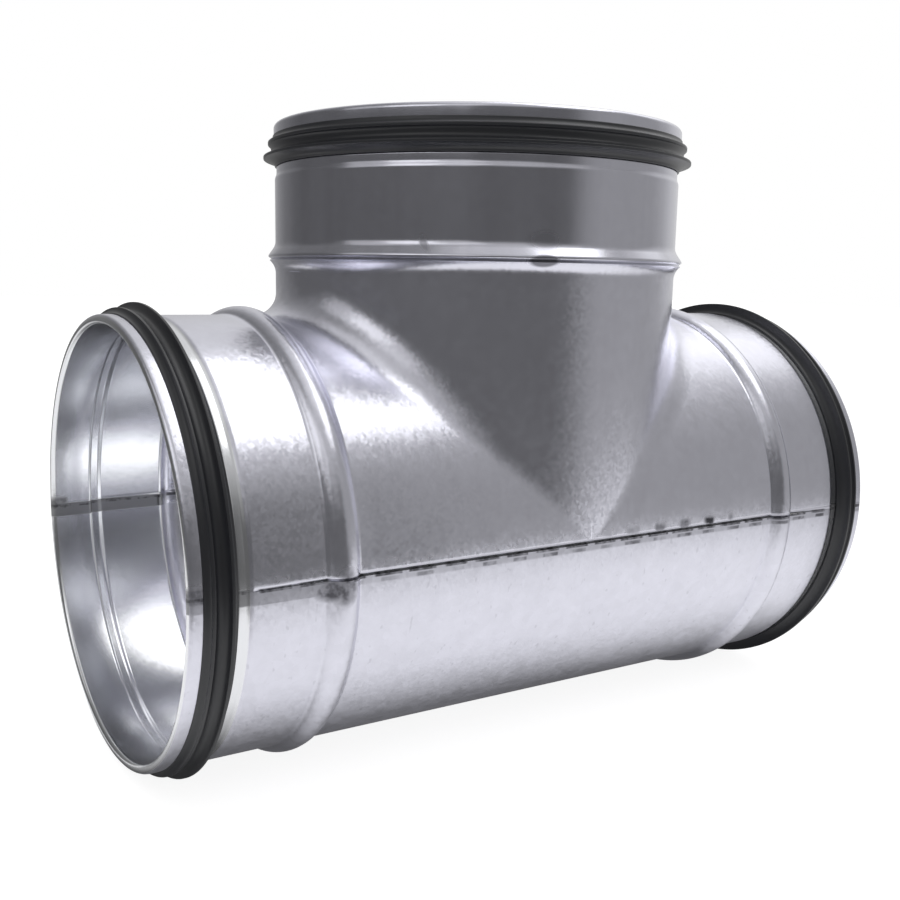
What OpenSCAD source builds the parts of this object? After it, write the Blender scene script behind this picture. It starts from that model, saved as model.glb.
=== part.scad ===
// Duct tee with three equal spigots: two pressed sheet steel shells welded along the middle
// of the run, a welded branch collar and a double-lip rubber gasket on each spigot.
// Origin where the run and the branch axes cross, X along the run, Z up the branch.

/* [Sheet] */
// Outer diameter of the spigots, one millimetre less than the duct that goes over them
collar_d = 124; // [98:1:200]
// Thickness of the galvanised sheet
sheet_t = 0.6; // [0.4:0.05:1]

/* [Saddle] */
// Radius of the pressed blend between the run and the branch
saddle_r = 11.2; // [6:0.1:20]
// Straight stretch between the blend and the ridges around it
saddle_land = 0.45; // [0.2:0.05:4]

/* [Run ends] */
// Length of a run spigot from the crest of its stop bead to its end
run_spigot_len = 40; // [32:0.5:70]
// Width of the stop bead
bead_w = 10.1; // [6:0.1:14]
// Height of the stop bead over the spigot
bead_h = 2.4; // [1:0.1:4]
// Radius of the hollow where the bead leaves the spigot
bead_foot_r = 1.4; // [0.5:0.1:2]

/* [Branch] */
// Length of the branch spigot from the crest of its ridge to its end
branch_spigot_len = 39; // [32:0.5:70]
// Height of the ridge where the collar is welded to the neck
ridge_h = 2.4; // [1:0.1:3.4]
// Length of the neck's flare below the crest of the ridge
flare_len = 5.05; // [4:0.05:9]
// Length of the collar's flank above the crest of the ridge
flank_len = 3.4; // [2.4:0.1:8]
// Easing of the corner where the flank meets the spigot
flank_ease = 1.2; // [0.4:0.1:2]
// Width of the groove between the edge of the neck and the crest of the ridge
joint_w = 1.1; // [0.4:0.1:1.6]

/* [End profile] */
// Distance from the end to the small step on the spigot
step_from_end = 15.9; // [14.5:0.1:22]
// Length of that step
step_len = 1.2; // [0.4:0.1:1.6]
// Height of that step
step_h = 0.5; // [0.2:0.1:1]
// Distance from the end to the foot of the shoulder behind the gasket
seat_len = 11.8; // [11:0.1:12.5]
// Length of the shoulder behind the gasket
shoulder_len = 0.6; // [0.3:0.1:1]
// Depth of the gasket's seat under that shoulder
seat_drop = 1.4; // [1:0.1:2.5]
// Length of the rolled rim, which clamps the gasket's foot
rim_len = 3.5; // [3:0.1:4]
// Gap inside the rolled rim for the gasket's foot
rim_gap = 1.55; // [1.2:0.05:2.5]

/* [Gasket] */
// Length of the foot inside the rolled rim
foot_len = 1.6; // [0.8:0.1:2]
// Distance from the end to the tip of the small lip
small_lip_at = 5.7; // [5.2:0.1:6.2]
// Height of the small lip over the spigot
small_lip_h = 2; // [1.4:0.1:2.4]
// Distance from the end to the middle of the large lip's crest
large_lip_at = 9.9; // [9.2:0.1:10.4]
// Height of the large lip over the spigot
large_lip_h = 3.4; // [3:0.1:5]
// Width of the flat crest on each lip
lip_crest = 0.8; // [0.4:0.1:1.4]
// Height of the rubber between the two lips over the spigot
groove_h = 1.1; // [0.6:0.1:1.2]

/* [Seam] */
// Width of the upper shell's edge that laps inside the lower shell
lap_w = 3.2; // [1.5:0.1:6]
// Height over the seam at which that edge is joggled inwards
joggle_h = 1; // [0.6:0.1:2]
// Clearance between pieces that lie against each other
fit_gap = 0.05; // [0.02:0.01:0.15]

/* [Hidden] */

$fn = 96;
steel = [0.72, 0.73, 0.77];
rubber = [0.15, 0.155, 0.165];

collar_r = collar_d / 2;
// where the blended saddle meets straight sheet, and where the ridges around it start
saddle_edge = collar_r + saddle_r + saddle_land / 2;
saddle_end = collar_r + saddle_r + saddle_land;
saddle_foot = [saddle_edge, collar_r];
bead_at = saddle_end + bead_w / 2;
run_end = bead_at + run_spigot_len;
ridge_at = saddle_end + flare_len;
branch_end = ridge_at + branch_spigot_len;
band_r = collar_r - step_h;
seat_r = band_r - seat_drop;
// the rolled rim turns around this radius, on the gasket's side of the sheet
roll_r = rim_gap / 2;
lap_angle = lap_w / collar_r * 180 / PI;
gap_angle = fit_gap / collar_r * 180 / PI;
// the joggle starts above the seam, and the lap grips it by half of that
joggle_angle = joggle_h / collar_r * 180 / PI;
joggle_bite = sheet_t / 3;
joggle_relief = sheet_t / 6;
arc_steps = 10;
ease_steps = 4;

// ribs of the saddle in each quarter turn, and steps across its blend
quarter_ribs = 24;
blend_steps = 9;
ribs = 4 * quarter_ribs;
// at its edges the saddle stands out from the true walls that carry on from it by more than
// its facets cut in, and then goes down into them: depths under the outside of the sheet
proud = 1.5 * collar_r * (1 - cos(180 / ribs));
outer_depths = [0, -proud, sheet_t / 3];
inner_depths = [sheet_t, sheet_t + proud, 2 * sheet_t / 3];
edge_at = [0, saddle_edge, saddle_end];

// Outlines are lists of [distance along the axis, radius], drawn along the outside of the sheet

function unit(v) = v / norm(v);
function right_of(v) = [v[1], -v[0]];
function reversed(p) = [for (i = [len(p) - 1:-1:0]) p[i]];
function mirrored(p) = [for (q = reversed(p)) [-q[0], q[1]]];
function arc(x, r, rad, from, to, steps = arc_steps) =
    [for (i = [0:steps]) let (a = from + (to - from) * i / steps) [x + rad * cos(a), r + rad * sin(a)]];

// the same outline moved sideways by d, to its right as one walks along it
function moved(p, d) = [
    for (i = [0:len(p) - 1])
        let (
            last = len(p) - 1,
            a = unit(p[max(i, 1)] - p[max(i, 1) - 1]),
            b = unit(p[min(i, last - 1) + 1] - p[min(i, last - 1)]),
            n = right_of(a) + right_of(b)
        )
        p[i] + d * 2 * n / (n * n)
];

// the corner between a and b as a small curve that starts and ends d from it
function eased(a, corner, b, d) =
    let (from = corner + d * unit(a - corner), to = corner + d * unit(b - corner))
    [for (i = [0:ease_steps]) let (t = i / ease_steps)
        (1 - t) * (1 - t) * from + 2 * t * (1 - t) * corner + t * t * to];

// a rounded bead of the given width and height, centred at x, with a hollow of radius foot at each side
function bead(x, w, h, foot) =
    let (
        sum = (w * w / 4 + h * h) / (2 * h),
        crown = sum - foot,
        a = asin(w / 2 / sum),
        top = arc(x, collar_r + h - crown, crown, 90 + a, 90 - a)
    )
    concat(
        arc(x - w / 2, collar_r + foot, foot, -90, a - 90, ease_steps),
        [for (i = [1:arc_steps - 1]) top[i]],
        arc(x + w / 2, collar_r + foot, foot, -90 - a, -90, ease_steps)
    );

// the spigot from its step to the rolled rim, for a spigot that ends at e
function spigot(e) = concat(
    [
        [e - step_from_end, collar_r],
        [e - step_from_end + step_len, band_r],
        [e - seat_len - shoulder_len, band_r],
        [e - seat_len, seat_r]
    ],
    arc(e - roll_r - sheet_t, seat_r + roll_r, roll_r, -90, 90),
    [[e - rim_len, seat_r + rim_gap]]
);

// the run from the end of the saddle to the right rim, and the stretch of it that laps
stop_bead = bead(bead_at, bead_w, bead_h, bead_foot_r);
run_side = concat([saddle_foot], stop_bead, spigot(run_end));
lap_side = concat(stop_bead, [[run_end - step_from_end - step_len, collar_r]]);
run_line = concat(mirrored(run_side), run_side);
lap_line = concat(mirrored(lap_side), lap_side);

// the neck's flare and the collar's leg inside it leave the saddle straight up and turn out
// together: the leg as far as the crest of the ridge, the neck as far as the joint's groove
leg_depth = sheet_t + fit_gap;
flare_turn = 2 * atan((ridge_h + leg_depth) / flare_len);
leg_r = flare_len / sin(flare_turn);
flare_r = leg_r - leg_depth;
joint_turn = joint_w / flare_r * 180 / PI;
crest = [ridge_at, collar_r + ridge_h];
flank_end = [ridge_at + flank_len, collar_r];
flare_line = concat(
    [saddle_foot],
    arc(saddle_end, collar_r + flare_r, flare_r, -90, flare_turn - joint_turn - 90)
);
collar_line = concat(
    arc(saddle_end, collar_r + flare_r, leg_r, -90, flare_turn - 90),
    eased(crest, flank_end, [branch_end, collar_r], flank_ease),
    spigot(branch_end)
);

// a wall of sheet between two distances inside an outline, turned about the branch's axis
module turned(line, near = 0, far = sheet_t, from = 0, span = 360) {
    rotate_extrude(angle = span, start = from)
        polygon([for (q = concat(moved(line, near), reversed(moved(line, far)))) [q[1], q[0]]]);
}

// the same about the run's axis, where the angle is 0 straight down and 90 on the far side
module rolled(line, near = 0, far = sheet_t, from = 0, span = 360) {
    rotate([0, 90, 0]) turned(line, near, far, from, span);
}

// Saddle: a ball of the blend's radius rolls in the corner between the run and the branch.
// A rib of the sheet at angle a runs from the run, round the ball and on to the branch.

function flat(a) = abs(cos(a)) < 1e-9;
function rib_point(a, j, depths) =
    let (
        k = max(0, j - blend_steps),
        r = collar_r - depths[k],
        c = flat(a) ? 0 : cos(a),
        s = flat(a) ? sign(sin(a)) : sin(a),
        reach = collar_r + saddle_r,
        ball = reach * [c, s, abs(c)],
        from_run = [0, -s, -abs(c)],
        from_branch = [-c, -s, 0],
        turn = acos(min(1, s * s)),
        u = j / blend_steps,
        way = turn < 0.01 ? from_run
            : (sin((1 - u) * turn) * from_run + sin(u * turn) * from_branch) / sin(turn)
    )
    k > 0 ? [r * c, r * s, edge_at[k]] : ball + (saddle_r + depths[0]) * way;
function end_point(a, side, k, depths) =
    let (r = collar_r - depths[k])
    [side * edge_at[k], r * sin(a), r * (flat(a) ? 0 : side * cos(a))];

columns = blend_steps + 3;
ring_points = ribs * columns;
side_points = 2 * quarter_ribs + 1;
layer_points = ring_points + 4 * side_points;

function rib_angle(i) = 360 * i / ribs;
function layer(depths) = concat(
    [for (i = [0:ribs - 1]) for (j = [0:columns - 1]) rib_point(rib_angle(i), j, depths)],
    [for (side = [1, -1]) for (k = [1, 2]) for (i = [0:side_points - 1])
        end_point(rib_angle(i - side * quarter_ribs), side, k, depths)]
);

// where the run and the branch touch, at the middle of the seam, a rib has one point for its blend
function on_seam(i) = (i + ribs) % (2 * quarter_ribs) == quarter_ribs;
function ring(i, j) =
    let (k = (i + ribs) % ribs)
    k * columns + (on_seam(k) && j <= blend_steps ? 0 : j);
function right_end(i, k) = ring_points + (k - 1) * side_points + i + quarter_ribs;
function left_end(i, k) = ring_points + (k + 1) * side_points + i - quarter_ribs;

function triangles(a, b, c, d) = [
    for (t = [[a, b, c], [a, c, d]])
        if (t[0] != t[1] && t[1] != t[2] && t[2] != t[0]) t
];
function inside(faces) = [for (t = faces) [t[2] + layer_points, t[1] + layer_points, t[0] + layer_points]];

skin = concat(
    [for (i = [0:ribs - 1]) for (j = [0:columns - 2])
        each triangles(ring(i, j), ring(i, j + 1), ring(i + 1, j + 1), ring(i + 1, j))],
    [for (i = [-quarter_ribs:quarter_ribs - 1]) each concat(
        triangles(right_end(i, 1), ring(i, 0), ring(i + 1, 0), right_end(i + 1, 1)),
        triangles(right_end(i, 2), right_end(i, 1), right_end(i + 1, 1), right_end(i + 1, 2)))],
    [for (i = [quarter_ribs:3 * quarter_ribs - 1]) each concat(
        triangles(left_end(i, 1), ring(i, 0), ring(i + 1, 0), left_end(i + 1, 1)),
        triangles(left_end(i, 2), left_end(i, 1), left_end(i + 1, 1), left_end(i + 1, 2)))]
);

// an edge of the sheet between two neighbouring points of the skin
function edge(a, b) = triangles(a, b, b + layer_points, a + layer_points);
far_mid = ring(quarter_ribs, 0);
near_mid = ring(3 * quarter_ribs, 0);
edges = concat(
    [for (i = [0:ribs - 1]) each edge(ring(i + 1, columns - 1), ring(i, columns - 1))],
    [for (i = [-quarter_ribs:quarter_ribs - 1]) each edge(right_end(i, 2), right_end(i + 1, 2))],
    [for (i = [quarter_ribs:3 * quarter_ribs - 1]) each edge(left_end(i, 2), left_end(i + 1, 2))],
    edge(right_end(quarter_ribs, 2), right_end(quarter_ribs, 1)),
    edge(right_end(quarter_ribs, 1), far_mid),
    edge(far_mid, left_end(quarter_ribs, 1)),
    edge(left_end(quarter_ribs, 1), left_end(quarter_ribs, 2)),
    edge(left_end(3 * quarter_ribs, 2), left_end(3 * quarter_ribs, 1)),
    edge(left_end(3 * quarter_ribs, 1), near_mid),
    edge(near_mid, right_end(-quarter_ribs, 1)),
    edge(right_end(-quarter_ribs, 1), right_end(-quarter_ribs, 2))
);

module saddle() {
    polyhedron(
        concat(layer(outer_depths), layer(inner_depths)),
        concat(skin, inside(skin), edges)
    );
}

// the edge that laps inside the lower shell, on the near side of the seam
module near_lap() {
    rolled(lap_line, sheet_t - joggle_bite, 2 * sheet_t - joggle_relief, 270 - joggle_angle, joggle_angle);
    rolled(lap_line, sheet_t + fit_gap, 2 * sheet_t, 270 - joggle_angle / 2, joggle_angle / 2 + lap_angle);
}

module upper_shell() {
    color(steel) {
        saddle();
        for (side = [0, 1]) {
            mirror([side, 0, 0]) rolled(run_side, from = 90, span = 180);
            mirror([0, side, 0]) near_lap();
        }
        turned(flare_line);
    }
}

module lower_shell() {
    color(steel) rolled(run_line, from = gap_angle - 90, span = 180 - 2 * gap_angle);
}

module branch_collar() {
    color(steel) turned(collar_line);
}

// a hollow flank of a lip, from its root to its crest
function flank(root, tip) = [
    for (i = [0:ease_steps]) let (a = 90 * i / ease_steps)
        [root[0] + (tip[0] - root[0]) * sin(a), tip[1] + (root[1] - tip[1]) * cos(a)]
];

// a lip whose crest is h over the spigot, between two roots
function lip(front, at, h, back) = concat(
    flank(front, [at + lip_crest / 2, collar_r + h]),
    reversed(flank(back, [at - lip_crest / 2, collar_r + h]))
);

// A gasket's section on a spigot that ends at e: the foot in the rolled rim, the two lips
// and the heel behind them, which leans on the shoulder
function gasket_section(e) =
    let (
        front = [e - rim_len - fit_gap, collar_r + groove_h / 2],
        groove = [e - (small_lip_at + large_lip_at) / 2, collar_r + groove_h],
        heel = [e - seat_len - shoulder_len + fit_gap, collar_r],
        groove_half = [lip_crest / 8, 0]
    )
    concat(
        [
            [e - rim_len + foot_len, seat_r + fit_gap],
            [e - rim_len + foot_len, seat_r + rim_gap - fit_gap],
            [e - rim_len - fit_gap, seat_r + rim_gap - fit_gap]
        ],
        lip(front, e - small_lip_at, small_lip_h, groove + groove_half),
        lip(groove - groove_half, e - large_lip_at, large_lip_h, heel),
        [
            [e - seat_len - shoulder_len + fit_gap, band_r + fit_gap],
            [e - seat_len + fit_gap, seat_r + fit_gap]
        ]
    );

module gasket(e) {
    color(rubber) rotate_extrude() polygon([for (q = gasket_section(e)) [q[1], q[0]]]);
}

module right_gasket() {
    rotate([0, 90, 0]) gasket(run_end);
}

module left_gasket() {
    mirror([1, 0, 0]) right_gasket();
}

module branch_gasket() {
    gasket(branch_end);
}

upper_shell();
lower_shell();
branch_collar();
left_gasket();
right_gasket();
branch_gasket();
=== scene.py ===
import math

import bmesh
import bpy
from bpy.props import FloatProperty, FloatVectorProperty, IntProperty, PointerProperty
from mathutils import Matrix, Vector


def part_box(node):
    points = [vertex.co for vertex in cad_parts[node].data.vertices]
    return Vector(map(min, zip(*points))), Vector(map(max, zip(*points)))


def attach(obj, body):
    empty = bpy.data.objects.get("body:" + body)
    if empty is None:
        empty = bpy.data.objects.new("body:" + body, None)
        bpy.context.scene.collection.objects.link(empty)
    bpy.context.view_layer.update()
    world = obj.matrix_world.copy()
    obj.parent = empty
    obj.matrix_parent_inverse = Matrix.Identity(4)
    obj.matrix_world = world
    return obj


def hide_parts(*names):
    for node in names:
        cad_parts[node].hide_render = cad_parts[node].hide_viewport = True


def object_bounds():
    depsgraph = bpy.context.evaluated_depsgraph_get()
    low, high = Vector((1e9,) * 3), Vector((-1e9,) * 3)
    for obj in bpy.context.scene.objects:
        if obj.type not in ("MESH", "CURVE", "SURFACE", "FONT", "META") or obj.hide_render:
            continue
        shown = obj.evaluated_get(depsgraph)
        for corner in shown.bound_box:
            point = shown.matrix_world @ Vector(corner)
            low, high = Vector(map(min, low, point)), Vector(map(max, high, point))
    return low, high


bl_info = {
    "name": "Duct tee",
    "version": (1, 0, 0),
    "blender": (4, 5, 0),
    "location": "3D View > Sidebar > Duct tee",
    "description": "Models a sheet steel duct tee with lip seals, and its studio",
    "category": "Object",
}

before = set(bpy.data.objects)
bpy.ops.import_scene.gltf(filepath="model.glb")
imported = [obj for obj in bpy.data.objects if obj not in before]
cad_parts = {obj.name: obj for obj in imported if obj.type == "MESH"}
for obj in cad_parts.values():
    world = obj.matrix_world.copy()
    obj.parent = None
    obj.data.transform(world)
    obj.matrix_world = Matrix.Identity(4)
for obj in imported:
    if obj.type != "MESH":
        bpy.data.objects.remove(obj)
CAD_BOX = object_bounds()
MM = 0.001

# places that the frame gives
RUN_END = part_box("upper_shell")[1].x
BRANCH_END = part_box("branch_collar")[1].z
TABLE_Z = CAD_BOX[0].z


def to_linear(code):
    """An sRGB hex colour as linear red, green and blue."""
    parts = [int(code[i:i + 2], 16) / 255 for i in (1, 3, 5)]
    return [c / 12.92 if c <= 0.04045 else ((c + 0.055) / 1.055) ** 2.4 for c in parts]


def length(name, text, default):
    """A length for the sidebar, in metres."""
    return FloatProperty(name=name, description=text, default=default, subtype="DISTANCE", unit="LENGTH")


def colour(name, text, default):
    """A colour for the sidebar, from its sRGB hex value."""
    return FloatVectorProperty(name=name, description=text, default=to_linear(default), size=3, min=0, max=1,
                               subtype="COLOR")


class TeeSizes(bpy.types.PropertyGroup):
    """Sizes of the sheet metal and the seals."""
    spigot_r: length("Spigot radius", "Outside of the spigots", 62 * MM)
    sheet: length("Sheet", "Thickness of the galvanised sheet", 0.6 * MM)
    saddle_r: length("Crotch radius", "Pressed blend between run and branch, at the crotch", 11.2 * MM)
    saddle_side_r: length("Side radius", "Radius that the same blend grows to at the sides", 18 * MM)
    saddle_land: length("Saddle land", "Straight stretch between the blend and the ridges", 0.45 * MM)
    bead_w: length("Bead width", "Width of the stop bead", 10.1 * MM)
    bead_h: length("Bead height", "Height of the stop bead", 2.4 * MM)
    bead_foot: length("Bead foot", "Radius of the hollow where the bead leaves the spigot", 1.4 * MM)
    ridge_h: length("Ridge height", "Height of the ridge round the branch", 2.4 * MM)
    flare_len: length("Flare", "Length of the neck's flare below the ridge", 5.05 * MM)
    crest_ease: length("Crest easing", "Easing of the ridge's crest", 0.9 * MM)
    flank_len: length("Flank", "Length of the collar's flank above the ridge", 3.4 * MM)
    joint_w: length("Joint", "Width of the groove between the neck's edge and the ridge's crest", 1.1 * MM)
    step_from_end: length("Step", "Distance from an end to the small step", 15.9 * MM)
    step_len: length("Step length", "Length of the small step", 1.2 * MM)
    step_h: length("Step height", "Height of the small step", 0.5 * MM)
    seat_len: length("Seat", "Distance from an end to the foot of the gasket's shoulder", 11.8 * MM)
    shoulder_len: length("Shoulder", "Length of the gasket's shoulder", 0.6 * MM)
    seat_drop: length("Seat depth", "Depth of the gasket's seat", 1.4 * MM)
    rim_len: length("Rim", "Length of the rolled rim", 3.5 * MM)
    rim_gap: length("Rim gap", "Gap inside the rolled rim", 1.55 * MM)
    foot_len: length("Gasket foot", "Length of the gasket's foot inside the rolled rim", 1.6 * MM)
    small_lip_at: length("Small lip place", "Distance from an end to the small lip", 5.7 * MM)
    small_lip_h: length("Small lip height", "Height of the small lip over the spigot", 2 * MM)
    large_lip_at: length("Large lip place", "Distance from an end to the large lip", 9.9 * MM)
    large_lip_h: length("Large lip height", "Height of the large lip over the spigot", 3.4 * MM)
    lip_crest: length("Lip crest", "Width of the crest on each lip", 0.8 * MM)
    groove_h: length("Groove", "Height of the rubber between the lips over the spigot", 1.1 * MM)
    lap_w: length("Lap", "Width of the edge that laps inside the lower shell", 3.2 * MM)
    joggle_h: length("Joggle", "Height over the seam at which that edge bends inwards", 1 * MM)
    fit_gap: length("Fit", "Clearance between pieces that touch", 0.05 * MM)
    ribs: IntProperty(name="Ribs", description="Faces round a full turn", default=240, min=48, max=360)


class TeeFinish(bpy.types.PropertyGroup):
    """Colours and grain of the finishes."""
    zinc: colour("Zinc", "Colour of the galvanised sheet", "#D6D6E0")
    zinc_inside: colour("Zinc inside", "Colour of the sheet on the inside of the duct", "#DBDCDF")
    # this colour also paints the shade on the bend above the seam
    weld: colour("Weld", "Burnt metal along the welds", "#2E2D33")
    rubber: colour("Rubber", "Colour of the seals", "#1C1D21")
    table: colour("Table", "Colour of the table", "#FBFBFC")
    spangle: length("Spangle", "Size of a zinc crystal", 2.5 * MM)
    facet: length("Facet", "Size of the small facets that catch the light", 0.9 * MM)
    inside_r: length("Inside radius", "Sheet nearer to the run's axis than this is glossy", 61.68 * MM)
    weld_pitch: length("Weld pitch", "Distance between the marks of the seam welder", 10.2 * MM)


def sizes():
    return bpy.context.scene.tee_sizes


def finish():
    return bpy.context.scene.tee_finish


# Outlines: lists of (distance along the axis, radius) on the outside of the sheet

HOLLOW_POINTS = 6
CROWN_POINTS = 24
ROLL_POINTS = 12
FLARE_POINTS = 12
LEG_POINTS = 14
SPIGOT_EASING = 0.45 * MM
FLANK_EASING = 1.2 * MM
STRAIGHT_BEFORE_STEP = 2 * MM
STRAIGHT_ABOVE_FLANK = 4 * MM


def arc(x, r, radius, start, end, steps):
    """Points on an arc round (x, r), from one angle to another in degrees."""
    angles = [math.radians(start + (end - start) * i / steps) for i in range(steps + 1)]
    return [(x + radius * math.cos(a), r + radius * math.sin(a)) for a in angles]


def eased(a, corner, b, radius, steps=4):
    """The corner between points a and b as a small curve that starts one radius from it."""
    a, corner, b = Vector(a), Vector(corner), Vector(b)
    start = corner + (a - corner).normalized() * min(radius, (a - corner).length / 2)
    end = corner + (b - corner).normalized() * min(radius, (b - corner).length / 2)
    points = []
    for i in range(steps + 1):
        t = i / steps
        points.append(tuple((1 - t) ** 2 * start + 2 * t * (1 - t) * corner + t * t * end))
    return points


def soft_bead(at, width, height, radius, foot):
    """A rounded bead on a spigot, with a hollow at each foot."""
    # the crown's and the foot's radii add up to the reach between their centres
    reach = (width * width / 4 + height * height) / (2 * height)
    crown = reach - foot
    lean = math.degrees(math.asin(width / 2 / reach))
    left = arc(at - width / 2, radius + foot, foot, -90, lean - 90, HOLLOW_POINTS)
    top = arc(at, radius + height - crown, crown, 90 + lean, 90 - lean, CROWN_POINTS)
    right = arc(at + width / 2, radius + foot, foot, -90 - lean, -90, HOLLOW_POINTS)
    return left + top[1:-1] + right


def end_profile(end):
    """The spigot from its small step to the edge of the rolled rim, for a spigot that ends at end."""
    s = sizes()
    band_r = s.spigot_r - s.step_h
    seat_r = band_r - s.seat_drop
    roll_r = s.rim_gap / 2
    corners = [
        (end - s.step_from_end - STRAIGHT_BEFORE_STEP, s.spigot_r),
        (end - s.step_from_end, s.spigot_r),
        (end - s.step_from_end + s.step_len, band_r),
        (end - s.seat_len - s.shoulder_len, band_r),
        (end - s.seat_len, seat_r),
        (end - roll_r - s.sheet, seat_r),
    ]
    line = []
    for i in range(1, len(corners) - 1):
        line += eased(corners[i - 1], corners[i], corners[i + 1], SPIGOT_EASING)
    line += arc(end - roll_r - s.sheet, seat_r + roll_r, roll_r, -90, 90, ROLL_POINTS)
    return line + [(end - s.rim_len, seat_r + s.rim_gap)]


def saddle_reach(angle):
    """Distance from the axes' crossing to the middle of the ball that rounds the rib at this angle.

    Seen from above, the ball's middle goes round an ellipse, so the ball grows towards the seam.
    """
    s = sizes()
    along = math.cos(angle) / (s.spigot_r + s.saddle_r)
    across = math.sin(angle) / (s.spigot_r + s.saddle_side_r)
    return 1 / math.hypot(along, across)


def saddle_end():
    """Where the saddle ends along the run and up the branch."""
    s = sizes()
    return s.spigot_r + s.saddle_r + s.saddle_land


def run_half():
    """The run's outline from the end of the saddle to the right rim."""
    s = sizes()
    bead_at = saddle_end() + s.bead_w / 2
    return soft_bead(bead_at, s.bead_w, s.bead_h, s.spigot_r, s.bead_foot) + end_profile(RUN_END)


def ridge_arcs():
    """Centre, radii and turn of the neck's flare and of the collar's leg inside it."""
    s = sizes()
    depth = s.sheet + s.fit_gap
    turn = 2 * math.degrees(math.atan((s.ridge_h + depth) / s.flare_len))
    leg_r = s.flare_len / math.sin(math.radians(turn))
    return saddle_end(), leg_r - depth, leg_r, turn


def flare():
    """The neck's outline from the saddle out to the groove of the joint."""
    s = sizes()
    low, flare_r, _, turn = ridge_arcs()
    joint = math.degrees(s.joint_w / flare_r)
    return arc(low, s.spigot_r + flare_r, flare_r, -90, turn - joint - 90, FLARE_POINTS)


# Mesh tools

# Points nearer than this are one point, and points lower than this lie on the seam
SAME_PLACE = 0.002 * MM
ON_SEAM = 0.01 * MM


def deselect():
    bpy.ops.object.select_all(action="DESELECT")


def take(piece):
    """Makes a piece the only selected one and the active one."""
    deselect()
    piece.select_set(True)
    bpy.context.view_layer.objects.active = piece
    return piece


def edit(piece, kind="EDGE"):
    """Opens a piece in edit mode with nothing selected."""
    take(piece)
    bpy.ops.object.mode_set(mode="EDIT")
    bpy.ops.mesh.select_mode(type=kind)
    bpy.ops.mesh.select_all(action="DESELECT")
    return bmesh.from_edit_mesh(piece.data)


def apply_modifier(piece, name, kind, **settings):
    """Adds a modifier with these settings and applies it."""
    modifier = piece.modifiers.new(name, kind)
    for key, value in settings.items():
        setattr(modifier, key, value)
    take(piece)
    bpy.ops.object.modifier_apply(modifier=modifier.name)


def smooth(piece, degrees=35):
    take(piece)
    bpy.ops.object.shade_smooth_by_angle(angle=math.radians(degrees))


def thicken(piece):
    """Gives a skin the thickness of the sheet, on the inner side."""
    apply_modifier(piece, "sheet", "SOLIDIFY", thickness=sizes().sheet, offset=-1,
                   use_quality_normals=True)


def drawn(name, outline, closed=False):
    """A wire in the XZ plane through the outline's points, made by extruding one vertex."""
    deselect()
    bpy.ops.mesh.primitive_circle_add(vertices=3, radius=1 * MM, location=(0, 0, 0))
    piece = bpy.context.active_object
    piece.name = piece.data.name = name
    edit(piece, "VERT")
    bpy.ops.mesh.select_all(action="SELECT")
    bpy.ops.mesh.merge(type="CENTER")
    bm = bmesh.from_edit_mesh(piece.data)
    start = Vector((outline[0][0], 0, outline[0][1]))
    for vertex in bm.verts:
        vertex.co = start
        vertex.select_set(True)
    bmesh.update_edit_mesh(piece.data)
    previous = start
    for x, z in outline[1:]:
        here = Vector((x, 0, z))
        bpy.ops.mesh.extrude_vertices_move(TRANSFORM_OT_translate={"value": here - previous})
        previous = here
    if closed:
        bm = bmesh.from_edit_mesh(piece.data)
        ends = [v for v in bm.verts if len(v.link_edges) == 1]
        bpy.ops.mesh.select_all(action="DESELECT")
        for vertex in ends:
            vertex.select_set(True)
        bmesh.update_edit_mesh(piece.data)
        bpy.ops.mesh.edge_face_add()
    bpy.ops.object.mode_set(mode="OBJECT")
    return piece


def spun(piece, axis, angle, steps):
    """Turns a drawn wire about an axis through the origin into a skin whose normals agree."""
    edit(piece, "VERT")
    bpy.ops.mesh.select_all(action="SELECT")
    bpy.ops.mesh.spin(steps=steps, angle=angle, center=(0, 0, 0), axis=axis)
    bpy.ops.mesh.select_all(action="SELECT")
    bpy.ops.mesh.remove_doubles(threshold=SAME_PLACE)
    bpy.ops.mesh.normals_make_consistent(inside=False)
    bpy.ops.object.mode_set(mode="OBJECT")
    return piece


def moved_mesh(piece, matrix):
    """Places a piece by its mesh, and leaves its object at the origin."""
    piece.data.transform(matrix)
    piece.data.update()


def facing(piece, probe, outward):
    """Flips a skin if the face nearest to the probe point looks the wrong way."""
    face = min(piece.data.polygons, key=lambda f: (f.center - probe).length)
    if face.normal.dot(outward) < 0:
        edit(piece, "FACE")
        bpy.ops.mesh.select_all(action="SELECT")
        bpy.ops.mesh.flip_normals()
        bpy.ops.object.mode_set(mode="OBJECT")


# Upper shell

# Faces along a rib's stretches, and the parts of the joggle's height that have a rib of their own
RUN_COLUMNS = 10
BLEND_COLUMNS = 18
NECK_COLUMNS = 10
JOGGLE_STEPS = (0.2, 0.4, 0.6, 0.8, 1)
JOGGLE_FADE = 1 * MM

# Places on plain sheet, where a skin's outward side is known
ON_RIGHT_SPIGOT = 90 * MM
ON_COLLAR = 92 * MM


def shell_angles():
    """Angles of the ribs of the right half, from the near seam to the far one, closer at the joggle."""
    s = sizes()
    step = 2 * math.pi / s.ribs
    count = s.ribs // 2
    even = [-math.pi / 2 + step * i for i in range(count + 1)]
    near_seam = [s.joggle_h / s.spigot_r * part for part in JOGGLE_STEPS]
    extra = [-math.pi / 2 + a for a in near_seam] + [math.pi / 2 - a for a in near_seam]
    return sorted(even + extra)


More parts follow.
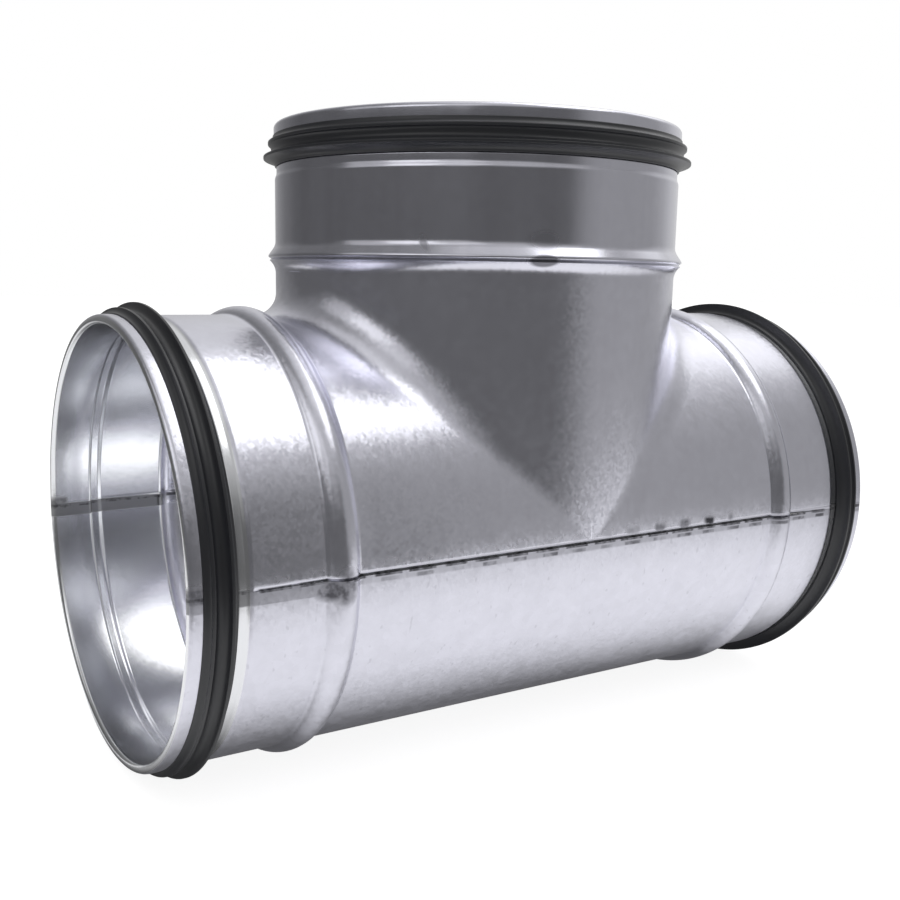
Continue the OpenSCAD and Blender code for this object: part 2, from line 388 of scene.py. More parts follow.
def rib(angle, outline, neck):
    """Points along one rib of the right half: rim, bead, run, round the rolling ball and up the neck."""
    s = sizes()
    sine, cosine = math.sin(angle), max(0.0, math.cos(angle))
    # at the seam itself the rib has to lie exactly in the plane of the seam
    if cosine < 1e-6:
        sine, cosine = math.copysign(1, sine), 0.0
    reach = saddle_reach(angle)
    points = [Vector((x, r * sine, r * cosine)) for x, r in reversed(outline)]
    first = points[-1].x
    for i in range(1, RUN_COLUMNS + 1):
        x = first + (reach * cosine - first) * i / RUN_COLUMNS
        points.append(Vector((x, s.spigot_r * sine, s.spigot_r * cosine)))
    ball = reach * Vector((cosine, sine, cosine))
    from_run = Vector((0, -sine, -cosine))
    from_branch = Vector((-cosine, -sine, 0))
    turn = math.acos(min(1.0, sine * sine))
    for i in range(1, BLEND_COLUMNS + 1):
        u = i / BLEND_COLUMNS
        way = from_run
        if turn > 1e-4:
            way = (math.sin((1 - u) * turn) * from_run + math.sin(u * turn) * from_branch) / math.sin(turn)
        points.append(ball + (reach - s.spigot_r) * way)
    low = reach * cosine
    high = neck[0][0]
    heights = [low + s.joggle_h * part for part in JOGGLE_STEPS]
    heights += [low + (high - low) * i / NECK_COLUMNS for i in range(1, NECK_COLUMNS)]
    points += [Vector((s.spigot_r * cosine, s.spigot_r * sine, z)) for z in sorted(heights)]
    points += [Vector((r * cosine, r * sine, z)) for z, r in neck]
    return points


def lap_end():
    """How far along the run the lapping edge goes: up to the small steps."""
    s = sizes()
    return RUN_END - s.step_from_end - s.step_len


def joggled(point):
    """Bends the sheet inwards as it comes down to the seam, between the small steps."""
    s = sizes()
    left = lap_end() + JOGGLE_FADE - abs(point.x)
    if point.z > s.joggle_h or left < 0:
        return point
    down = 1 - point.z / s.joggle_h
    along = min(1.0, left / JOGGLE_FADE)
    depth = (s.sheet + s.fit_gap) * down * down * (3 - 2 * down) * along
    return Vector((point.x, point.y - math.copysign(depth, point.y), point.z))


class TEE_OT_upper_shell(bpy.types.Operator):
    """Press the upper shell: the saddle, the neck and the upper halves of both run spigots"""
    bl_idname = "tee.upper_shell"
    bl_label = "Upper shell"

    def execute(self, context):
        s = sizes()
        angles = shell_angles()
        outline = run_half()
        neck = flare()
        rows = [rib(angle, outline, neck) for angle in angles]
        columns = len(rows[0])
        deselect()
        bpy.ops.mesh.primitive_grid_add(x_subdivisions=columns - 1, y_subdivisions=len(rows) - 1,
                                        size=2 * RUN_END)
        shell = context.active_object
        shell.name = shell.data.name = "upper_shell_sheet"
        for i, vertex in enumerate(shell.data.vertices):
            vertex.co = joggled(rows[i // columns][i % columns])
        facing(shell, Vector((ON_RIGHT_SPIGOT, 0, s.spigot_r)), Vector((0, 0, 1)))
        apply_modifier(shell, "other half", "MIRROR", use_axis=(True, False, False),
                       merge_threshold=SAME_PLACE)
        edit(shell, "VERT")
        bpy.ops.mesh.select_all(action="SELECT")
        bpy.ops.mesh.remove_doubles(threshold=SAME_PLACE)
        bpy.ops.mesh.select_all(action="DESELECT")
        bm = bmesh.from_edit_mesh(shell.data)
        bpy.ops.mesh.select_mode(type="EDGE")
        for edge in bm.edges:
            low = all(abs(v.co.z) < ON_SEAM and abs(v.co.x) < lap_end() for v in edge.verts)
            edge.select_set(low and edge.is_boundary)
        bmesh.update_edit_mesh(shell.data)
        bpy.ops.mesh.extrude_region_move(TRANSFORM_OT_translate={"value": (0, 0, -s.lap_w)})
        bpy.ops.object.mode_set(mode="OBJECT")
        thicken(shell)
        smooth(shell)
        shell.data.materials.append(drawn_zinc())
        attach(shell, "root")
        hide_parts("upper_shell")
        return {"FINISHED"}


# Lower shell

class TEE_OT_lower_shell(bpy.types.Operator):
    """Press the lower shell: a trough with the lower halves of both run spigots"""
    bl_idname = "tee.lower_shell"
    bl_label = "Lower shell"

    def execute(self, context):
        s = sizes()
        right = run_half()
        left = [(-x, r) for x, r in reversed(right)]
        gap = s.fit_gap / s.spigot_r
        shell = drawn("lower_shell_sheet", left + right)
        moved_mesh(shell, Matrix.Rotation(math.pi / 2 + gap, 4, "X"))
        spun(shell, (-1, 0, 0), math.pi - 2 * gap, s.ribs // 2)
        facing(shell, Vector((0, 0, -s.spigot_r)), Vector((0, 0, -1)))
        thicken(shell)
        smooth(shell)
        shell.data.materials.append(plain_zinc())
        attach(shell, "root")
        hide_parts("lower_shell")
        return {"FINISHED"}


# Branch collar

class TEE_OT_branch_collar(bpy.types.Operator):
    """Roll the branch collar, from its leg inside the neck's flare to its rolled rim"""
    bl_idname = "tee.branch_collar"
    bl_label = "Branch collar"

    def execute(self, context):
        s = sizes()
        low, flare_r, leg_r, turn = ridge_arcs()
        leg = arc(low, s.spigot_r + flare_r, leg_r, -90, turn - 90, LEG_POINTS)
        crest = leg[-1]
        foot = (crest[0] + s.flank_len, s.spigot_r)
        above = (foot[0] + STRAIGHT_ABOVE_FLANK, s.spigot_r)
        # the easing of the crest takes the place of the leg's last two points
        outline = leg[:-2] + eased(leg[-3], crest, foot, s.crest_ease)
        outline += eased(crest, foot, above, FLANK_EASING) + end_profile(BRANCH_END)
        collar = drawn("branch_collar_sheet", [(r, z) for z, r in outline])
        spun(collar, (0, 0, 1), 2 * math.pi, s.ribs)
        facing(collar, Vector((s.spigot_r, 0, ON_COLLAR)), Vector((1, 0, 0)))
        thicken(collar)
        smooth(collar)
        collar.data.materials.append(ring_zinc())
        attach(collar, "root")
        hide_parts("branch_collar")
        return {"FINISHED"}


# Gaskets

# Half of the flat between the lips, and the rounding that the mould leaves on every edge
GROOVE_HALF = 0.1 * MM
MOULDED_EDGE = 0.12 * MM


def flank(root, tip, steps=7):
    """A hollow flank of a lip, a quarter of an ellipse from its root to its crest."""
    along = tip[0] - root[0]
    up = tip[1] - root[1]
    angles = [math.pi / 2 * i / steps for i in range(steps + 1)]
    return [(root[0] + along * math.sin(a), tip[1] - up * math.cos(a)) for a in angles]


def lip(front, at, height, back):
    """A lip whose crest stands height over the spigot, between two roots."""
    s = sizes()
    half = s.lip_crest / 2
    top = s.spigot_r + height
    return flank(front, (at + half, top)) + flank(back, (at - half, top))[::-1]


def gasket_outline(end):
    """A seal's closed section on a spigot that ends at end: foot, small lip, large lip and heel."""
    s = sizes()
    band_r = s.spigot_r - s.step_h
    seat_r = band_r - s.seat_drop
    gap = s.fit_gap
    rim = end - s.rim_len
    heel = end - s.seat_len - s.shoulder_len + gap
    middle = end - (s.small_lip_at + s.large_lip_at) / 2
    groove_r = s.spigot_r + s.groove_h
    foot = [
        (rim + s.foot_len, seat_r + gap),
        (rim + s.foot_len, seat_r + s.rim_gap - gap),
        (rim - gap, seat_r + s.rim_gap - gap),
    ]
    small = lip((rim - gap, s.spigot_r + s.groove_h / 2), end - s.small_lip_at, s.small_lip_h,
                (middle + GROOVE_HALF, groove_r))
    large = lip((middle - GROOVE_HALF, groove_r), end - s.large_lip_at, s.large_lip_h, (heel, s.spigot_r))
    return foot + small + large + [(heel, band_r + gap), (end - s.seat_len + gap, seat_r + gap)]


class TEE_OT_gaskets(bpy.types.Operator):
    """Mould the double-lip seals and slip one on each spigot"""
    bl_idname = "tee.gaskets"
    bl_label = "Gaskets"

    def execute(self, context):
        s = sizes()
        seals = (
            ("left", RUN_END, Matrix.Rotation(-math.pi / 2, 4, "Y")),
            ("right", RUN_END, Matrix.Rotation(math.pi / 2, 4, "Y")),
            ("branch", BRANCH_END, Matrix.Identity(4)),
        )
        for side, end, turn in seals:
            outline = [(r, z) for z, r in gasket_outline(end)]
            seal = drawn(side + "_gasket_rubber", outline, closed=True)
            spun(seal, (0, 0, 1), 2 * math.pi, s.ribs)
            apply_modifier(seal, "soft edges", "BEVEL", width=MOULDED_EDGE, segments=2,
                           limit_method="ANGLE", angle_limit=math.radians(30))
            moved_mesh(seal, turn)
            smooth(seal, 50)
            seal.data.materials.append(rubber())
            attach(seal, "root")
            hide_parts(side + "_gasket")
        return {"FINISHED"}


# Materials

def node(tree, kind, links=None, **settings):
    """Adds a shader node, sets its properties and inputs, and links sockets to it."""
    made = tree.nodes.new("ShaderNode" + kind)
    for key, value in settings.items():
        if key.startswith("in_"):
            name = key[3:]
            made.inputs[int(name) if name.isdigit() else name].default_value = value
        else:
            setattr(made, key, value)
    for key, socket in (links or {}).items():
        tree.links.new(socket, made.inputs[key])
    return made


def new_material(name):
    """An empty material and its node tree."""
    material = bpy.data.materials.new(name)
    material.use_nodes = True
    material.node_tree.nodes.clear()
    return material, material.node_tree


def spread(tree, value, low, high, first=0.0, last=1.0):
    """Takes a value from one range to another, and holds it there."""
    held = node(tree, "MapRange", {"Value": value}, in_1=low, in_2=high, in_3=first, in_4=last)
    return held.outputs["Result"]


def folded(tree, operation, values):
    """Several values brought together by a maths operation, two at a time."""
    result = values[0]
    for value in values[1:]:
        result = node(tree, "Math", {0: result, 1: value}, operation=operation).outputs["Value"]
    return result


def times(tree, *masks):
    return folded(tree, "MULTIPLY", masks)


def larger(tree, *masks):
    return folded(tree, "MAXIMUM", masks)


def total(tree, *values):
    return folded(tree, "ADD", values)


def scaled(tree, value, factor):
    """A value times a plain number."""
    return node(tree, "Math", {0: value}, operation="MULTIPLY", in_1=factor).outputs["Value"]


def band(tree, value, centre, half, soft):
    """A mask that is 1 within half of the centre and fades out over soft."""
    away = node(tree, "Math", {0: value}, operation="SUBTRACT", in_1=centre)
    away = node(tree, "Math", {0: away.outputs["Value"]}, operation="ABSOLUTE")
    return spread(tree, away.outputs["Value"], half, half + soft, 1, 0)


def blot(tree, place, centre, size, soft):
    """A mask of one spot on the surface, size across, whose edge fades out over soft."""
    away = node(tree, "VectorMath", {0: place}, operation="SUBTRACT", in_1=centre)
    shaped = node(tree, "VectorMath", {0: away.outputs["Vector"]}, operation="DIVIDE", in_1=size)
    reach = node(tree, "VectorMath", {0: shaped.outputs["Vector"]}, operation="LENGTH").outputs["Value"]
    return spread(tree, reach, 0.5, 0.5 + soft, 1, 0)


def blots(tree, place, size, stretch=(1, 1, 1), detail=2.0, shift=0.0):
    """Noise whose blots are size across, stretched along the axes."""
    moved = node(tree, "Mapping", {"Vector": place}, in_Scale=stretch, in_Location=(shift, 0, 0))
    noise = node(tree, "TexNoise", {"Vector": moved.outputs["Vector"]}, in_Scale=1 / size, in_Detail=detail)
    return noise.outputs["Fac"]


def cells(tree, place, size):
    """A colour for each zinc crystal, size across."""
    return node(tree, "TexVoronoi", {"Vector": place}, in_Scale=1 / size, in_Randomness=1.0).outputs["Color"]


# Burnt spots, by their middle and their size in metres, with 20 mm of depth to go through the sheet
BEAD_BURNS = (
    ((-0.0828, -0.063, -0.0022), (0.005, 0.02, 0.0035)),
    ((-0.0788, -0.064, -0.0018), (0.0035, 0.02, 0.0055)),
)
RIDGE_TACK = ((-0.0190, -0.0610, 0.0779), (0.0064, 0.02, 0.0026))
RIDGE_SOOT = ((-0.0180, -0.0595, 0.0832), (0.0050, 0.02, 0.0030))
RIDGE_TICK = ((-0.0453, -0.0427, 0.0819), (0.0010, 0.02, 0.0030))

BURNT_ROUGHNESS = 0.55
INSIDE_ROUGHNESS = 0.2
INSIDE_TILT = 0.01
INSIDE_FADE = 0.08 * MM
LAP_STAIN = 0.6


def seam_rows(tree, x, z, uneven):
    """The two rows of dashes along the seam, their smoke, the grey between them and painted shade on the
    bend above it, as one mask.
    """
    line = node(tree, "CombineXYZ", {"X": x}).outputs["Vector"]
    wander = spread(tree, blots(tree, line, 9 * MM), 0.3, 0.7, -0.1, 0.1)
    turns = total(tree, scaled(tree, x, 1 / finish().weld_pitch), wander)
    # 0 to 1 from one mark of the welder to the next
    part = node(tree, "Math", {0: turns}, operation="FRACT").outputs["Value"]
    dash = band(tree, part, 0.5, 0.36, 0.08)
    short_dash = band(tree, part, 0.58, 0.22, 0.1)
    spot = band(tree, part, 0.58, 0.12, 0.14)
    # the welder ran hotter towards the right end, and the last spots before the right bead smoked
    heat = spread(tree, blots(tree, line, 22 * MM, shift=3), 0.36, 0.56, 0.4, 1.0)
    hot_end = spread(tree, x, -90 * MM, -20 * MM, 0.3, 1.0)
    hottest = times(tree, spread(tree, x, -2 * MM, 45 * MM, 0.1, 1), spread(tree, x, 55 * MM, 58 * MM, 1, 0))
    # heights over the seam
    upper = times(tree, band(tree, z, -0.1 * MM, 0.4 * MM, 0.3 * MM), dash, uneven)
    lower = times(tree, band(tree, z, -1.5 * MM, 0.35 * MM, 0.4 * MM), short_dash, uneven, heat, hot_end)
    between = times(tree, band(tree, z, -0.9 * MM, 0.9 * MM, 0.6 * MM), hot_end)
    smoke = times(tree, band(tree, z, 1.7 * MM, 0.7 * MM, 1.4 * MM), spot, hottest, uneven)
    # painted shade: the bend above the seam is darkened, which dims the bright line that it mirrors there
    painted_bend_shade = times(tree, band(tree, z, 0.55 * MM, 0.5 * MM, 0.3 * MM), hot_end)
    return larger(tree, scaled(tree, upper, 0.85), scaled(tree, lower, 0.8), scaled(tree, smoke, 0.95),
                  scaled(tree, painted_bend_shade, 0.35), scaled(tree, between, 0.25))


def seam_burns_and_shade(tree, place):
    """Dark marks that the seam welder left along both sides of the run, with painted shade on the bend above
    the seam, as one mask.
    """
    axes = node(tree, "SeparateXYZ", {"Vector": place})
    x, z = axes.outputs["X"], axes.outputs["Z"]
    uneven = spread(tree, blots(tree, place, 2.2 * MM), 0.35, 0.6, 0.6, 1.0)
    # on the left spigot the lap's edge shows as a second line, with a grey strip between the two
    on_spigot = spread(tree, x, -83 * MM, -80 * MM, 1, 0)
    strip = times(tree, band(tree, z, -1.6 * MM, 1.6 * MM, 0.3 * MM), on_spigot)
    edge = times(tree, band(tree, z, -3.3 * MM, 0.1 * MM, 0.25 * MM), on_spigot, uneven)
    # burnt patches where the weld crosses the bead and the rim
    at_bead = times(tree, larger(tree, *(blot(tree, place, *spot, 0.5) for spot in BEAD_BURNS)), uneven)
    on_rim = spread(tree, x, -114.5 * MM, -113.5 * MM, 1, 0)
    at_rim = times(tree, band(tree, z, 0.6 * MM, 1.5 * MM, 1.2 * MM), on_rim, uneven)
    return larger(tree, seam_rows(tree, x, z, uneven), scaled(tree, strip, 0.33), scaled(tree, edge, 0.4),
                  scaled(tree, at_bead, 0.8), scaled(tree, at_rim, 0.7))


def ridge_burns(tree, place):
    """The tack weld under the ridge and the soot round it, as one mask."""
    tack = blot(tree, place, *RIDGE_TACK, 0.2)
    soot = blot(tree, place, *RIDGE_SOOT, 0.6)
    tick = blot(tree, place, *RIDGE_TICK, 0.5)
    return larger(tree, scaled(tree, tack, 0.7), scaled(tree, soot, 0.35), scaled(tree, tick, 0.45))


def zinc_colour(tree, place, grain, tone, spangle, specks, streaks):
    """The zinc's colour: crystals that differ in shade by spangle, with clouds, streaks and specks."""
    cloudy = blots(tree, place, 5 * MM, detail=4.0)
    streaky = blots(tree, place, 7 * MM, (1, 1, 0.05))
    speckled = spread(tree, blots(tree, place, 1.6 * MM, (1, 1, 0.5), 1.0), 0.68, 0.76, 0, -specks)
    shade = total(tree, spread(tree, grain, 0, 1, tone - spangle, tone + spangle),
                  spread(tree, cloudy, 0.3, 0.7, -spangle, spangle),
                  spread(tree, streaky, 0.3, 0.7, -streaks, streaks), speckled)
    zinc = node(tree, "VectorMath", {"Scale": shade}, operation="SCALE", in_0=tuple(finish().zinc))
    return zinc.outputs["Vector"]


def zinc_normal(tree, place, tilt):
    """The skin's normal with small crystals that lean their own way, and a fine ripple.

    The leaning facets break a highlight up into specks at its edge.
    """
    facets = cells(tree, place, finish().facet)
    lean = node(tree, "VectorMath", {0: facets}, operation="SUBTRACT", in_1=(0.5, 0.5, 0.5))
    lean = node(tree, "VectorMath", {0: lean.outputs["Vector"], "Scale": tilt}, operation="SCALE")
    skin = node(tree, "NewGeometry").outputs["Normal"]
    leaning = node(tree, "VectorMath", {0: skin, 1: lean.outputs["Vector"]}, operation="ADD")
    leaning = node(tree, "VectorMath", {0: leaning.outputs["Vector"]}, operation="NORMALIZE")
    ripple = blots(tree, place, 2.2 * MM, detail=4.0)
    bump = node(tree, "Bump", {"Height": ripple, "Normal": leaning.outputs["Vector"]}, in_Strength=0.2,
                in_Distance=0.05 * MM)
    return bump.outputs["Normal"]


def zinc_sheet(name, tone, spangle, specks, tilt, streaks, roughness, seam):
    """A material for zinc coated sheet, made once.

    Spangle is how much its crystals differ in shade, tilt how far they lean, and seam says whether the
    sheet has the marks of the seam welder, painted shade on the bend above the seam, and an inner side in
    the duct.
    """
    made = bpy.data.materials.get(name)
    if made:
        return made
    f = finish()
    made, tree = new_material(name)
    place = node(tree, "TexCoord").outputs["Object"]
    # the die never touched the inside, which keeps the gloss of the zinc bath
    across = node(tree, "VectorMath", {0: place}, operation="MULTIPLY", in_1=(0, 1, 1)).outputs["Vector"]
    from_axis = node(tree, "VectorMath", {0: across}, operation="LENGTH").outputs["Value"]
    inside = spread(tree, from_axis, f.inside_r, f.inside_r + INSIDE_FADE, 1, 0)
    grain = node(tree, "SeparateColor", {"Color": cells(tree, place, f.spangle)}).outputs["Red"]
    zinc = zinc_colour(tree, place, grain, tone, spangle, specks, streaks)
    zinc = node(tree, "Mix", {"Factor": inside, 6: zinc}, data_type="RGBA",
                in_7=tuple(f.zinc_inside) + (1,)).outputs[2]
    rough = spread(tree, grain, 0, 1, roughness - spangle, roughness + spangle)
    burns_and_shade = ridge_burns(tree, place)
    if seam:
        rough = node(tree, "Mix", {"Factor": inside, 2: rough}, data_type="FLOAT",
                     in_3=INSIDE_ROUGHNESS).outputs[0]
        # inside the duct the lap shows as a dull strip
        height = node(tree, "SeparateXYZ", {"Vector": place}).outputs["Z"]
        lap = times(tree, inside, band(tree, height, -1.4 * MM, 1.9 * MM, 0.3 * MM))
        burns_and_shade = larger(tree, burns_and_shade, seam_burns_and_shade(tree, place), scaled(tree, lap, LAP_STAIN))
    # the weld's colour marks the burns and also paints the shade on the bend above the seam
    burnt_and_shaded = node(tree, "Mix", {"Factor": burns_and_shade, 6: zinc}, data_type="RGBA", in_7=tuple(f.weld) + (1,))
    rough = node(tree, "Mix", {"Factor": burns_and_shade, 2: rough}, data_type="FLOAT",
                 in_3=BURNT_ROUGHNESS).outputs[0]
    skin = node(tree, "BsdfPrincipled", {
        "Base Color": burnt_and_shaded.outputs[2],
        "Roughness": rough,
        "Normal": zinc_normal(tree, place, spread(tree, inside, 0, 1, tilt, INSIDE_TILT)),
    }, in_Metallic=1.0)
    node(tree, "OutputMaterial", {"Surface": skin.outputs["BSDF"]})
    return made


def drawn_zinc():
    # hot-dip galvanised sheet that a press has drawn: the die polishes the spangle away and leaves streaks
    return zinc_sheet("drawn_galvanised_sheet", tone=0.97, spangle=0.012, specks=0.0, tilt=0.042,
                      streaks=0.02, roughness=0.26, seam=True)


def plain_zinc():
    # hot-dip galvanised sheet that was only rolled to a trough: pale, with its fine spangle and specks
    return zinc_sheet("rolled_galvanised_sheet", tone=0.97, spangle=0.025, specks=0.12, tilt=0.06,
                      streaks=0.01, roughness=0.38, seam=True)


def ring_zinc():
    # hot-dip galvanised strip rolled to a ring: the rollers leave soft bands along the branch
    return zinc_sheet("galvanised_ring", tone=0.9, spangle=0.008, specks=0.0, tilt=0.0,
                      streaks=0.04, roughness=0.2, seam=False)


def rubber():
    # EPDM rubber moulded in a ring: near black, with a satin sheen that the mould's fine grain breaks up
    made = bpy.data.materials.get("epdm_rubber")
    if made:
        return made
    f = finish()
    made, tree = new_material("epdm_rubber")
    place = node(tree, "TexCoord").outputs["Object"]
    grain = node(tree, "TexNoise", {"Vector": place}, in_Scale=1 / (0.8 * MM), in_Detail=4.0)
    bump = node(tree, "Bump", {"Height": grain.outputs["Fac"]}, in_Strength=0.15, in_Distance=0.05 * MM)
    skin = node(tree, "BsdfPrincipled", {"Normal": bump.outputs["Normal"]}, in_Roughness=0.36)
    skin.inputs["Base Color"].default_value = tuple(f.rubber) + (1,)
    node(tree, "OutputMaterial", {"Surface": skin.outputs["BSDF"]})
    return made


# Studio

# The camera, from the photograph: metres, degrees, and pixels of a picture 900 pixels wide
CAMERA_PLACE = (-0.2040, -0.2987, 0.0732)
CAMERA_YAW = 32.762
CAMERA_PITCH = 10.593
CAMERA_ROLL = 1.007
FOCAL_PIXELS = 1122.17
PICTURE_PIXELS = 900
CENTRE_PIXEL = (438.57, 487.35)

# Name, place, target, width, height and radiance of each softbox, in metres
SOFTBOXES = (
    ("overhead_softbox", (0.74, -0.3, 1.5), (0.74, -0.3, 0), 0.95, 1.5, 1.7),
    ("left_softbox", (-1.07, -0.32, 0.9), (0, 0, 0.05), 1.95, 0.85, 0.42),
    ("left_spot", (-1.03, -0.35, 0.8), (0, 0, 0.05), 0.6, 0.5, 0.75),
)

# Brightness of the table and of the studio's parts, where the picture's white is 1
TABLE_GLOW = 1.25
STUDIO_FRONT = 0.125
STUDIO_RIGHT = 0.27
STUDIO_WINDOW = 0.5
STUDIO_PANE = 0.6
STUDIO_FRONT_TOP = 0.36
STUDIO_TOP = 0.3
STUDIO_CROWN = 0.42
CONTACT_SHADE = 0.1
SECOND_BOUNCE = 1.9
SECOND_UP_LEFT = 5.2

# Directions in the studio, seen from the tee
TOWARDS_RIGHT = (1, 0, 0)
TOWARDS_RIGHT_WALL = (0.891, 0.454, 0)
TOWARDS_WINDOW = (0.68, 0.54, 0.5)
TOWARDS_PANE = (0.76, 0.2, 0.62)
TOWARDS_FRONT_TOP = (-0.107, -0.606, 0.788)
TOWARDS_UP_LEFT = (-0.51, -0.2, 0.81)
TOWARDS_LEFT_FRONT = (-0.41, -0.91, 0)

# Side of the table and of the flag over it, and where they lie under and over the gaskets' lowest point
STUDIO_SIZE = 12
TABLE_GAP = 0.2 * MM
FLAG_HEIGHT = 1 * MM


def add_camera():
    """The camera that took the photograph."""
    data = bpy.data.cameras.new("photo_camera")
    camera = bpy.data.objects.new("photo_camera", data)
    bpy.context.scene.collection.objects.link(camera)
    data.sensor_width = 36
    data.lens = FOCAL_PIXELS / PICTURE_PIXELS * data.sensor_width
    data.shift_x = (PICTURE_PIXELS / 2 - CENTRE_PIXEL[0]) / PICTURE_PIXELS
    data.shift_y = (CENTRE_PIXEL[1] - PICTURE_PIXELS / 2) / PICTURE_PIXELS
    data.clip_start = 0.01
    yaw, pitch, roll = (math.radians(a) for a in (CAMERA_YAW, CAMERA_PITCH, CAMERA_ROLL))
    ahead = Vector((math.sin(yaw) * math.cos(pitch), math.cos(yaw) * math.cos(pitch), -math.sin(pitch)))
    right = Vector((math.cos(yaw), -math.sin(yaw), 0))
    up = right.cross(ahead)
    right_rolled = right * math.cos(roll) + up * math.sin(roll)
    up_rolled = up * math.cos(roll) - right * math.sin(roll)
    turn = Matrix((right_rolled, up_rolled, -ahead)).transposed()
    camera.matrix_world = Matrix.Translation(CAMERA_PLACE) @ turn.to_4x4()
    bpy.context.scene.camera = camera


def add_softbox(name, place, target, width, height, radiance):
    """A softbox that shows in the metal, but neither in the picture itself nor on the table."""
    data = bpy.data.lights.new(name, "AREA")
    data.shape = "RECTANGLE"
    data.size = width
    data.size_y = height
    data.energy = radiance * math.pi * width * height
    light = bpy.data.objects.new(name, data)
    bpy.context.scene.collection.objects.link(light)
    light.location = place
    light.rotation_euler = (Vector(target) - Vector(place)).to_track_quat("-Z", "Y").to_euler()
    light.visible_camera = light.visible_diffuse = False


def add_table():
    """The pale table, a large back-lit plane just under the gaskets."""
    deselect()
    bpy.ops.mesh.primitive_plane_add(size=STUDIO_SIZE, location=(0, 0, TABLE_Z - TABLE_GAP))
    table = bpy.context.active_object
    table.name = table.data.name = "table"
    # white acrylic with light behind it, so that shadows on it stay faint
    made, tree = new_material("back_lit_acrylic")
    skin = node(tree, "BsdfPrincipled", in_Roughness=0.9)
    skin.inputs["Base Color"].default_value = tuple(finish().table) + (1,)
    glow = node(tree, "Emission", in_Strength=TABLE_GLOW)
    mix = node(tree, "MixShader", {1: skin.outputs["BSDF"], 2: glow.outputs["Emission"]}, in_0=0.7)
    node(tree, "OutputMaterial", {"Surface": mix.outputs["Shader"]})
    table.data.materials.append(made)


def towards(tree, way, direction):
    """How far a vector goes along a direction: the cosine between them if its length is 1."""
    unit = tuple(Vector(direction).normalized())
    return node(tree, "VectorMath", {0: way}, operation="DOT_PRODUCT", in_1=unit).outputs["Value"]


def studio_glow(tree, way):
    """Brightness of the studio in a direction.

    It is dim in front and on the left, has a window to the right behind, and is pale above.
    """
    right = spread(tree, towards(tree, way, TOWARDS_RIGHT_WALL), -0.17, 0.09)
    left = spread(tree, towards(tree, way, TOWARDS_RIGHT), -0.45, 0.3)
    side = node(tree, "Math", {0: right, 1: left}, operation="MINIMUM").outputs["Value"]
    wall = spread(tree, side, 0, 1, STUDIO_FRONT, STUDIO_FRONT + STUDIO_RIGHT)
    window = spread(tree, towards(tree, way, TOWARDS_WINDOW), 0.66, 1, 0, STUDIO_WINDOW)
    pane = spread(tree, towards(tree, way, TOWARDS_PANE), 0.95, 0.99, 0, STUDIO_PANE)
    front_top = spread(tree, towards(tree, way, TOWARDS_FRONT_TOP), 0.8, 0.97, 0, STUDIO_FRONT_TOP)
    height = node(tree, "SeparateXYZ", {"Vector": way}).outputs["Z"]
    top = spread(tree, height, 0.45, 0.93, 0, STUDIO_TOP - STUDIO_FRONT)
    crown = spread(tree, height, 0.9, 0.97, 0, STUDIO_CROWN)
    return total(tree, wall, window, pane, front_top, top, crown)


def add_flag():
    """What the metal mirrors in the table: the dim room past its edge, and the shade under the tee."""
    deselect()
    bpy.ops.mesh.primitive_plane_add(size=STUDIO_SIZE, location=(0, 0, TABLE_Z + FLAG_HEIGHT))
    flag = bpy.context.active_object
    flag.name = flag.data.name = "studio_flag"
    # no thing of its own: past the table's edge the metal mirrors the same dim room as above it
    made, tree = new_material("studio_flag")
    place = node(tree, "TexCoord").outputs["Object"]
    axes = node(tree, "SeparateXYZ", {"Vector": place})
    x, y = axes.outputs["X"], axes.outputs["Y"]
    way = node(tree, "VectorMath", {0: place}, operation="NORMALIZE").outputs["Vector"]
    distance = node(tree, "VectorMath", {0: place}, operation="LENGTH").outputs["Value"]
    # the table's edges, in metres from its middle
    front = spread(tree, y, -0.36, -0.25, 1, 0)
    back = times(tree, spread(tree, y, 0.1, 0.18), band(tree, x, 0, 0.15, 0.1))
    left_front = spread(tree, towards(tree, place, TOWARDS_LEFT_FRONT), 0.19, 0.25)
    right = spread(tree, x, 0.15, 0.6)
    far = spread(tree, distance, 0.38, 0.6)
    under = times(tree, band(tree, y, 0, 32 * MM, 30 * MM), band(tree, x, 0, 120 * MM, 30 * MM))
    strength = node(tree, "Mix", {"Factor": under, 2: studio_glow(tree, way)}, data_type="FLOAT",
                    in_3=CONTACT_SHADE).outputs[0]
    glow = node(tree, "Emission", {"Strength": strength})
    clear = node(tree, "BsdfTransparent")
    shown = larger(tree, front, back, left_front, right, far, under)
    mix = node(tree, "MixShader", {0: shown, 1: clear.outputs["BSDF"], 2: glow.outputs["Emission"]})
    node(tree, "OutputMaterial", {"Surface": mix.outputs["Shader"]})
    flag.data.materials.append(made)
    flag.visible_camera = flag.visible_diffuse = flag.visible_shadow = flag.visible_transmission = False


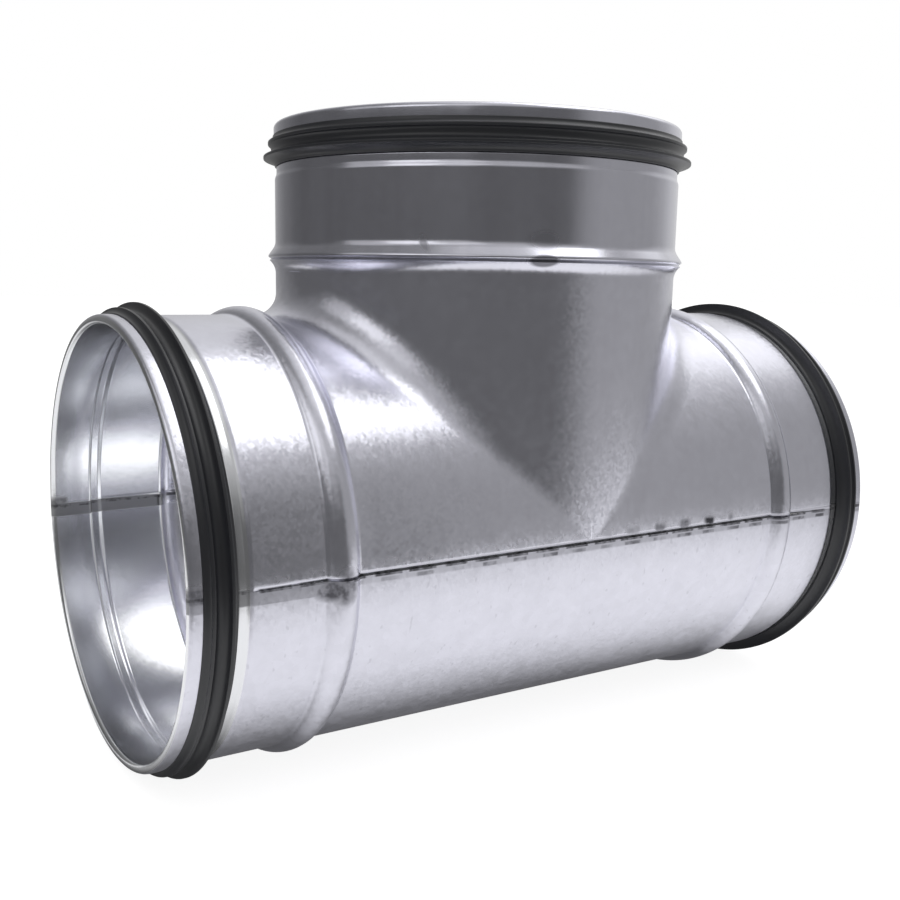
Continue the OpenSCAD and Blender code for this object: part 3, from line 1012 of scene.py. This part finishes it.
def add_world():
    """White round the picture, and the dim studio in what the metal mirrors."""
    world = bpy.data.worlds.new("studio")
    world.use_nodes = True
    tree = world.node_tree
    tree.nodes.clear()
    way = node(tree, "TexCoord").outputs["Generated"]
    ray = node(tree, "LightPath")
    white = node(tree, "Background", in_Strength=1.0, in_Color=(1, 1, 1, 1))
    # zinc scatters, so light that comes by way of other metal is stronger than a plain mirror gives
    up_left = spread(tree, towards(tree, way, TOWARDS_UP_LEFT), 0.82, 0.97, SECOND_BOUNCE, SECOND_UP_LEFT)
    second = spread(tree, ray.outputs["Ray Depth"], 2.4, 2.6)
    again = node(tree, "Mix", {"Factor": second, 3: up_left}, data_type="FLOAT", in_2=1.0).outputs[0]
    level = times(tree, studio_glow(tree, way), again)
    studio = node(tree, "Background", {"Strength": level}, in_Color=(1, 1, 1, 1))
    glossy = ray.outputs["Is Glossy Ray"]
    mix = node(tree, "MixShader", {0: glossy, 1: white.outputs[0], 2: studio.outputs[0]})
    node(tree, "OutputWorld", {"Surface": mix.outputs[0]})
    bpy.context.scene.world = world


class TEE_OT_studio(bpy.types.Operator):
    """Set the pale table, the lights and the camera"""
    bl_idname = "tee.studio"
    bl_label = "Studio"

    def execute(self, context):
        add_table()
        add_flag()
        add_world()
        for softbox in SOFTBOXES:
            add_softbox(*softbox)
        add_camera()
        context.scene.view_settings.view_transform = "Standard"
        return {"FINISHED"}


class TEE_PT_panel(bpy.types.Panel):
    """Lists the pieces of the duct tee"""
    bl_idname = "TEE_PT_panel"
    bl_label = "Duct tee"
    bl_space_type = "VIEW_3D"
    bl_region_type = "UI"
    bl_category = "Duct tee"

    def draw(self, context):
        for operator in PIECES:
            self.layout.operator(operator.bl_idname)
        for group in (context.scene.tee_sizes, context.scene.tee_finish):
            for name in group.__annotations__:
                self.layout.prop(group, name)


PIECES = (TEE_OT_upper_shell, TEE_OT_lower_shell, TEE_OT_branch_collar, TEE_OT_gaskets, TEE_OT_studio)
CLASSES = (TeeSizes, TeeFinish) + PIECES + (TEE_PT_panel,)


def register():
    for cls in CLASSES:
        bpy.utils.register_class(cls)
    bpy.types.Scene.tee_sizes = PointerProperty(type=TeeSizes)
    bpy.types.Scene.tee_finish = PointerProperty(type=TeeFinish)


def unregister():
    del bpy.types.Scene.tee_finish
    del bpy.types.Scene.tee_sizes
    for cls in reversed(CLASSES):
        bpy.utils.unregister_class(cls)


def main():
    register()
    bpy.ops.tee.upper_shell()
    bpy.ops.tee.lower_shell()
    bpy.ops.tee.branch_collar()
    bpy.ops.tee.gaskets()
    bpy.ops.tee.studio()


if __name__ == "__main__":
    main()
